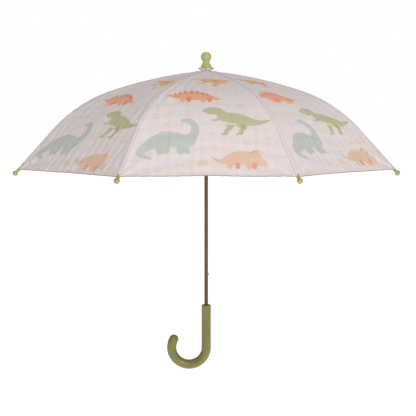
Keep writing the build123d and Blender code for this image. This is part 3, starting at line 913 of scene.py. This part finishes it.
def make_rib(rib):
    """A steel channel with rounded shoulders, a flat root, an eye round the wire and a pin."""
    half, low, high = RIB_WIDTH / 2, -RIB_HALF_HEIGHT, RIB_HALF_HEIGHT
    inner = half - RIB_WALL
    channel = [
        (-half, low), (-half, high - 0.0004), (-half + 0.00012, high - 0.00012),
        (-half + 0.0004, high), (half - 0.0004, high), (half - 0.00012, high - 0.00012),
        (half, high - 0.0004), (half, low), (inner, low), (inner, high - RIB_WALL),
        (-inner, high - RIB_WALL), (-inner, low),
    ]
    blade = [(-BLADE_HALF, low), (-BLADE_HALF, high), (BLADE_HALF, high), (BLADE_HALF, low)]
    pinched = [(a * 0.45, b) for a, b in channel]
    vertices, faces = [], []

    def add(rings):
        faces.extend(ring_tube(rings, len(vertices)))
        for ring in rings:
            vertices.extend(ring)

    stops = np.linspace(CHANNEL_START + PINCH_LENGTH, PIN_ROOT, 90)
    rings = [rib_section(rib, CHANNEL_START, pinched)]
    rings += [rib_section(rib, along, channel) for along in stops]
    rings.append(rib_section(rib, PIN_ROOT + 0.004, [(a * 0.4, b * 0.5) for a, b in channel]))
    add(rings)
    add([rib_section(rib, along, blade) for along in np.linspace(BLADE_START, BLADE_END, 8)])

    point, normal, forward = rib_frame(rib, 0.0)
    side = tangential(azimuth(rib))
    turns = np.linspace(0, math.tau, EYE_SIDES + 1)[:-1]
    corners = (
        (-BLADE_HALF, EYE_BORE), (-BLADE_HALF, EYE_RADIUS), (BLADE_HALF, EYE_RADIUS),
        (BLADE_HALF, EYE_BORE),
    )
    first = len(vertices)
    for across, radius in corners:
        arms = (forward * math.cos(t) + normal * math.sin(t) for t in turns)
        vertices.extend(point + side * across + arm * radius for arm in arms)
    faces.extend(grid_faces(len(corners), EYE_SIDES, first, wrap=True))
    last = first + (len(corners) - 1) * EYE_SIDES
    for c in range(EYE_SIDES):
        d = (c + 1) % EYE_SIDES
        faces.append([last + c, last + d, first + d, first + c])

    pin = [(PIN_RADIUS * math.cos(t), PIN_RADIUS * math.sin(t)) for t in turns[::2]]
    add([rib_section(rib, along, pin) for along in (PIN_ROOT, PIN_END)])
    thing = make_object(f"rib_channel_{rib}", vertices, faces, STEEL, smooth=False)
    bend_with_rib(thing, rib)
    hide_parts(f"rib_{rib}")


def tip_profile():
    """The ball, a waist, a rim that fills the cloth's corner and the bore for the rib's pin."""
    points = [(0.0, BALL_RADIUS)]
    for turn in np.linspace(0.12, 2.62, 26):
        points.append((BALL_RADIUS * math.sin(turn), BALL_RADIUS * math.cos(turn)))
    rim = NECK_RADIUS + 0.0005
    points += [
        (0.00265, -0.0053), (0.00255, -0.0060), (0.00265, -0.0066), (rim, -0.0074),
        (rim + 0.00012, -0.0084), (rim, -0.0096), (rim - 0.00005, -0.0112), (0.0031, -0.0117),
        (0.0027, -NECK_LENGTH), (0.00125, -NECK_LENGTH), (0.00120, -0.0100), (0.0, -0.0100),
    ]
    return points[::-1]


def make_tip(rib):
    """The moulded tip on a rib's end, pushed on over the cloth's corner."""
    point, normal, forward = rib_frame(rib, RIB_LENGTH)
    thing = lathe(f"ball_tip_{rib}", tip_profile(), SHADED_TIP_GREEN, 56)
    place(thing, point, normal, forward)
    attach(thing, f"tip_{rib}")
    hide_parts(f"tip_{rib}")


for rib in range(1, RIB_COUNT + 1):
    make_rib(rib)
    make_tip(rib)


# ------------------------------------------------------------ the rosette and strap
ROSETTE_INNER, ROSETTE_OUTER = 0.0046, 0.0170
ROSETTE_HALF_THICKNESS = 0.00022
# How high the gathered edge stands, how deep its lobes are, and how far they draw it in.
ROSETTE_RISE, LOBE_DEPTH = 0.0040, 0.0011
LOBE_PULL, LOBE_SWING = 0.0007, 0.0006
# Where in the printed cloth the disc was cut: the middle, and how much of it is shown.
ROSETTE_CUT, ROSETTE_CUT_RADIUS = (0.04, 0.29), 0.034


def make_rosette():
    """A gathered disc of the canopy's cloth, pinched under the finial."""
    rows, columns = 20, 180
    turns = np.arange(columns) * math.tau / columns
    share = np.linspace(0.0, 1.0, rows)
    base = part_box("top_rosette")[0][2] + 0.0002
    points = np.zeros((rows, columns, 3))
    for row, part in enumerate(share):
        spread = smooth((part - 0.45) / 0.55)
        lobes = np.sin(9 * turns + 0.8 * np.sin(2 * turns) + 0.4)
        lobes += 0.45 * np.sin(17 * turns + 1.3 * np.sin(3 * turns))
        radius = ROSETTE_INNER + (ROSETTE_OUTER - ROSETTE_INNER) * part
        radius = radius - spread * (LOBE_PULL - LOBE_SWING * np.cos(9 * turns + 1.2))
        height = base + ROSETTE_RISE * spread + LOBE_DEPTH * spread * lobes
        points[row] = np.stack([radius * np.cos(turns), radius * np.sin(turns), height], axis=1)
    points = np.concatenate([points, points[:, :1]], axis=1)
    ahead, beside = np.gradient(points, axis=0), np.gradient(points, axis=1)
    beside[:, 0] = beside[:, -1] = (points[:, 1] - points[:, -2]) / 2
    normals = np.cross(ahead, beside)
    normals /= np.linalg.norm(normals, axis=2, keepdims=True)
    half = normals * ROSETTE_HALF_THICKNESS
    thing = shell("gathered_rosette", points + half, points - half, normals, [ROSETTE_CLOTH])
    cut, way = np.meshgrid(
        share * ROSETTE_CUT_RADIUS, np.append(turns, math.tau) + math.pi, indexing="ij"
    )
    flat = np.stack([(cut * np.cos(way)).ravel(), (cut * np.sin(way)).ravel()], axis=1) + ROSETTE_CUT
    add_uv(thing, np.tile(flat, (2, 1)))
    add_print(thing, flat)
    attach(thing, "shaft")
    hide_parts("top_rosette")


make_rosette()


STRAP_RIB = 5
STRAP_LENGTH = 0.120
STRAP_WIDTH = 0.0138
STRAP_THICKNESS = 0.0005
STRAP_END = CORNER - 0.012
STRAP_START = STRAP_END - STRAP_LENGTH
STRAP_ROUNDING = 0.006
# The strap lies over the seam: its underside's height there, how far its edges droop and
# how deep it ripples.
STRAP_HUMP, STRAP_DROOP, STRAP_RIPPLE = 0.00105, 0.00055, 0.00012
STUD_INSET = 0.008
STUD_HEIGHT = 0.00163
STUD_PROFILE = (
    (0.0, 0.0), (0.0046, 0.0), (0.0049, 0.0001), (0.0050, 0.0005), (0.0048, 0.0011),
    (0.0042, 0.0016), (0.0034, 0.00178), (0.0026, 0.0016), (0.0020, 0.0013),
    (0.0012, 0.00112), (0.0, 0.0011),
)


def make_strap(rib):
    """The closing strap, folded from the canopy's cloth and laid along a seam."""
    along = np.linspace(STRAP_START, STRAP_END, 70)
    shares = np.linspace(-1.0, 1.0, 13)
    offsets = shares * STRAP_WIDTH / 2
    side = tangential(azimuth(rib))
    top = np.zeros((len(along), len(offsets), 3))
    bottom = np.zeros_like(top)
    normals = np.zeros_like(top)
    for row, distance in enumerate(along):
        point, normal, _ = rib_frame(rib, distance, CLOTH_ABOVE_RIB)
        from_tip = (distance - STRAP_START) / STRAP_ROUNDING
        narrow = 1.0 - 0.5 * max(0.0, 1.0 - from_tip) ** 2
        for column, (share, offset) in enumerate(zip(shares, offsets)):
            hump = STRAP_HUMP + STRAP_RIPPLE * math.sin(distance * 260.0) - STRAP_DROOP * share**2
            here = point + side * offset * narrow
            top[row, column] = here + normal * (hump + STRAP_THICKNESS)
            bottom[row, column] = here + normal * hump
            normals[row, column] = normal + side * 0.16 * share
    normals /= np.linalg.norm(normals, axis=2, keepdims=True)
    thing = shell("closing_strap", top, bottom, normals, [TAPE])
    across_tape, along_tape = np.meshgrid(shares * SEAM_HALF_WIDTH, along)
    flat = np.stack([across_tape.ravel(), along_tape.ravel()], axis=1)
    add_uv(thing, np.tile(flat, (2, 1)))
    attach(thing, f"tip_{rib}")
    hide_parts("tie_strap")


def make_stud(rib):
    """The press stud near the strap's free end, with a rolled rim and a dished middle."""
    stud = lathe("strap_stud", STUD_PROFILE, LIGHT_GREEN, 48)
    along = STRAP_START + STUD_INSET
    point, normal, forward = rib_frame(rib, along, CLOTH_ABOVE_RIB + STUD_HEIGHT)
    place(stud, point, forward, normal)
    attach(stud, f"tip_{rib}")
    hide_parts("strap_snap")


make_strap(STRAP_RIB)
make_stud(STRAP_RIB)


# ------------------------------------------------------------ floor, light and camera
FLOOR_HALF_SIZE, FLOOR_HEIGHT = 40.0, -1.3
SKY_LEFT, SKY_RIGHT = 0.285, 0.45

# Each light: its name, place, target, diameter and power in watts.
LIGHTS = (
    ("key", (0.55, -2.9, 1.0), (0, 0, 0.45), 1.6, 32.0),
    ("top", (0.0, 0.3, 2.6), (0, 0, 0.5), 2.0, 6.0),
    ("sparkle_0", (1.5, -1.9, 1.9), (0, 0, 0.2), 0.2, 1.6),
    ("sparkle_1", (0.9, -2.1, 2.2), (0, 0, 0.2), 0.2, 1.6),
    ("sparkle_2", (-1.0, -1.9, 2.0), (0, 0, 0.2), 0.2, 1.6),
)
CAMERA_PLACE = (0.0039, -1.751, 0.4415)
CAMERA_TILT = math.radians(84.095)
CAMERA_LENS, CAMERA_SENSOR = 70.5, 36.0


def make_floor():
    """A plain pale floor, bright enough to pass into the white behind it."""
    shader = Shader("studio_floor")
    where = shader.node("TexCoord").outputs["Object"]
    tone = shader.between(shader.noise(where, 0.6), 0.3, 0.7, 0.93, 0.95)
    shader.finish(Base_Color=tone, Roughness=0.9, Specular_IOR_Level=0.1,
                  Emission_Color=(1.0, 1.0, 1.0), Emission_Strength=0.75)
    ways = ((-1, -1), (1, -1), (1, 1), (-1, 1))
    corners = [(x * FLOOR_HALF_SIZE, y * FLOOR_HALF_SIZE, FLOOR_HEIGHT) for x, y in ways]
    floor = make_object("studio_floor", corners, [[0, 1, 2, 3]], shader.material, smooth=False)


def make_world():
    """White behind the object; the light itself is soft, and dimmer from the left."""
    world = bpy.data.worlds.new("studio")
    bpy.context.scene.world = world
    world.use_nodes = True
    tree = world.node_tree
    tree.nodes.clear()

    def node(kind, **settings):
        made = tree.nodes.new(kind)
        for key, value in settings.items():
            setattr(made, key, value)
        return made

    out, mix = node("ShaderNodeOutputWorld"), node("ShaderNodeMixShader")
    seen, sky = node("ShaderNodeBackground"), node("ShaderNodeBackground")
    way, parts = node("ShaderNodeTexCoord"), node("ShaderNodeSeparateXYZ")
    from_side = node("ShaderNodeMapRange", interpolation_type="SMOOTHSTEP")
    seen.inputs["Color"].default_value = (1, 1, 1, 1)
    sky.inputs["Color"].default_value = (1, 0.97, 0.95, 1)
    for number, value in ((1, -1.0), (2, 0.6), (3, SKY_LEFT), (4, SKY_RIGHT)):
        from_side.inputs[number].default_value = value
    tree.links.new(way.outputs["Generated"], parts.inputs[0])
    tree.links.new(parts.outputs[0], from_side.inputs[0])
    tree.links.new(from_side.outputs[0], sky.inputs["Strength"])
    tree.links.new(node("ShaderNodeLightPath").outputs["Is Camera Ray"], mix.inputs[0])
    tree.links.new(sky.outputs[0], mix.inputs[1])
    tree.links.new(seen.outputs[0], mix.inputs[2])
    tree.links.new(mix.outputs[0], out.inputs[0])


def area_light(name, place_at, target, size, watts):
    light = bpy.data.lights.new(name, "AREA")
    light.shape = "DISK"
    light.size = size
    light.energy = watts
    thing = bpy.data.objects.new(name, light)
    bpy.context.scene.collection.objects.link(thing)
    thing.location = place_at
    thing.rotation_euler = (Vector(target) - Vector(place_at)).to_track_quat("-Z", "Y").to_euler()


def make_camera():
    """From the front and tipped slightly down, as in the photograph."""
    camera = bpy.data.objects.new("camera", bpy.data.cameras.new("camera"))
    bpy.context.scene.collection.objects.link(camera)
    camera.location = CAMERA_PLACE
    camera.rotation_euler = (CAMERA_TILT, 0, 0)
    camera.data.lens = CAMERA_LENS
    camera.data.sensor_width = CAMERA_SENSOR
    bpy.context.scene.camera = camera


make_floor()
make_world()
for light in LIGHTS:
    area_light(*light)
make_camera()
bpy.context.scene.view_settings.view_transform = "Standard"
